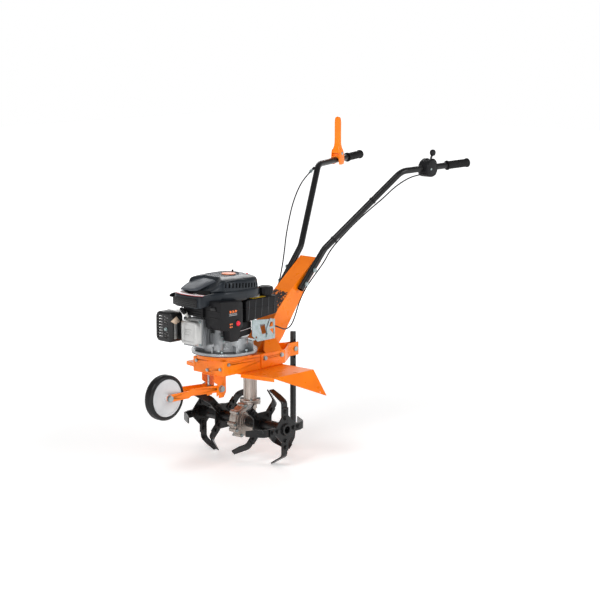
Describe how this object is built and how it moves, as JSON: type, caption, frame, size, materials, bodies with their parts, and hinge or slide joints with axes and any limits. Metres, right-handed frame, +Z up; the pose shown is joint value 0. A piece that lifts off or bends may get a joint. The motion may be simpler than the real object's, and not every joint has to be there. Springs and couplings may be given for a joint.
{
  "type": "garden tiller",
  "caption": "Petrol garden tiller: engine on a steel frame over a worm-driven tine rotor, folding front wheel, rear depth stake and a pair of handlebars with clutch and throttle.",
  "frame": {"origin": "on the ground, at the middle of the footprint of the whole machine", "axes": "+Z up, the front wheel towards -Y, the handles towards +Y, the operator's left towards +X"},
  "size_m": [0.5858, 1.4364, 1.1979],
  "materials": {
    "orange_paint": "gloss powder coat",
    "black_paint": "satin powder coat",
    "cast_aluminium": "as cast",
    "machined_steel": "machined",
    "zinc_steel": "bright zinc plate",
    "bronze": "machined bronze",
    "black_rubber": "moulded",
    "black_tyre": "moulded",
    "white_plastic": "moulded",
    "black_plastic": "textured",
    "grey_plastic": "satin",
    "red_rubber": "moulded",
    "cable_sheath": "smooth sheath",
    "white_ceramic": "glazed"
  },
  "bodies": {
    "machine": {"bearings_and_seals": "machined_steel", "gearbox_left": "cast_aluminium", "gearbox_right": "cast_aluminium", "gear_tube": "cast_aluminium", "chassis": "orange_paint", "base_plate": "orange_paint", "frame_bolts": "zinc_steel", "fenders": "orange_paint", "steering_column": "orange_paint", "handlebar_left": "black_paint", "handlebar_right": "black_paint", "grips": "black_rubber", "depth_stake": "black_paint", "stake_straps": "orange_paint", "wheel_bracket": "orange_paint", "drive_belt": "black_rubber", "engine_plate": "orange_paint", "engine_gasket": "black_rubber", "engine_block": "cast_aluminium", "cylinder_head": "cast_aluminium", "valve_cover": "cast_aluminium", "piston": "cast_aluminium", "engine_cowl": "grey_plastic", "fuel_tank": "black_plastic", "air_filter_box": "black_plastic", "carburettor": "cast_aluminium", "muffler": "machined_steel", "muffler_guard": "black_paint", "spark_plug": "white_ceramic", "plug_cap": "black_rubber", "throttle_plate": "zinc_steel", "clutch_saddle": "orange_paint", "throttle_box": "black_plastic", "clutch_cable": "cable_sheath", "throttle_cable": "cable_sheath", "cable_holders": "black_plastic"},
    "rotor": {"output_shaft": "machined_steel", "worm_wheel": "bronze", "rotor_hubs": "black_paint", "inner_tines": "black_paint", "outer_tines": "black_paint", "rotor_bolts": "black_paint"},
    "worm": {"worm_shaft": "machined_steel", "driven_pulley": "cast_aluminium"},
    "crank": {"crankshaft": "machined_steel", "flywheel": "cast_aluminium", "engine_pulley": "machined_steel"},
    "front_wheel": {"wheel_rim": "white_plastic", "wheel_tyre": "black_tyre"},
    "wheel_arm": {"wheel_fork": "orange_paint", "wheel_axle": "zinc_steel"},
    "clutch": {"clutch_lever": "orange_paint"},
    "tensioner": {"tensioner_arm": "zinc_steel"},
    "idler": {"idler_pulley": "black_plastic"},
    "throttle": {"throttle_lever": "black_plastic"},
    "governor": {"throttle_arm": "zinc_steel"},
    "starter": {"starter_handle": "black_plastic"},
    "tank_cap": {"fuel_cap": "black_plastic"},
    "primer": {"primer_button": "red_rubber"},
    "pin": {"stake_pin": "zinc_steel"}
  },
  "joints": [
    {"name": "rotor_spin", "type": "hinge", "parent": "machine", "child": "rotor", "pos_m": [0, -0.2482, 0.138], "axis": [1, 0, 0], "continuous": true},
    {"name": "worm_spin", "type": "hinge", "parent": "machine", "child": "worm", "pos_m": [0, -0.2102, 0.138], "axis": [0, 0, 1], "continuous": true},
    {"name": "crank_spin", "type": "hinge", "parent": "machine", "child": "crank", "pos_m": [0, -0.3412, 0.5], "axis": [0, 0, 1], "continuous": true},
    {"name": "wheel_arm_fold", "type": "hinge", "parent": "machine", "child": "wheel_arm", "pos_m": [0, -0.3902, 0.283], "axis": [1, 0, 0], "range_deg": [0, 50]},
    {"name": "wheel_spin", "type": "hinge", "parent": "wheel_arm", "child": "front_wheel", "pos_m": [0, -0.6372, 0.287], "axis": [1, 0, 0], "continuous": true},
    {"name": "clutch_squeeze", "type": "hinge", "parent": "machine", "child": "clutch", "pos_m": [-0.24083, 0.5378, 1.05187], "axis": [-0.9811, -0.1937, 0], "range_deg": [0, 70], "stiffness_Nm_per_rad": 1.5, "springref_deg": -11.46},
    {"name": "tensioner_swing", "type": "hinge", "parent": "machine", "child": "tensioner", "pos_m": [0.058, -0.3802, 0.374], "axis": [0, 0, 1], "range_deg": [0, 6.6]},
    {"name": "idler_spin", "type": "hinge", "parent": "tensioner", "child": "idler", "pos_m": [0.0575, -0.2862, 0.358], "axis": [0, 0, 1], "continuous": true},
    {"name": "throttle_turn", "type": "hinge", "parent": "machine", "child": "throttle", "pos_m": [0.23688, 0.5258, 1.04693], "axis": [1, 0, 0], "range_deg": [-22, 25]},
    {"name": "governor_turn", "type": "hinge", "parent": "machine", "child": "governor", "pos_m": [0.093, -0.2192, 0.468], "axis": [1, 0, 0], "range_deg": [-11, 12.5]},
    {"name": "starter_pull", "type": "slide", "parent": "machine", "child": "starter", "axis": [-1, 0, 0], "range_m": [0, 0.03], "stiffness_N_per_m": 40, "springref_m": -0.02},
    {"name": "fuel_cap_turn", "type": "hinge", "parent": "machine", "child": "tank_cap", "pos_m": [0.068, -0.1982, 0.64], "axis": [0, 0, 1], "range_deg": [0, 90]},
    {"name": "primer_press", "type": "slide", "parent": "machine", "child": "primer", "axis": [-1, 0, 0], "range_m": [0, 0.004], "stiffness_N_per_m": 300},
    {"name": "stake_pin_pull", "type": "slide", "parent": "machine", "child": "pin", "axis": [1, 0, 0], "range_m": [0, 0.05]}
  ],
  "couplings": [
    {"joint": "worm_spin", "follows": "rotor_spin", "ratio": -28},
    {"joint": "tensioner_swing", "follows": "clutch_squeeze", "ratio": 0.094286},
    {"joint": "governor_turn", "follows": "throttle_turn", "ratio": 0.5}
  ]
}
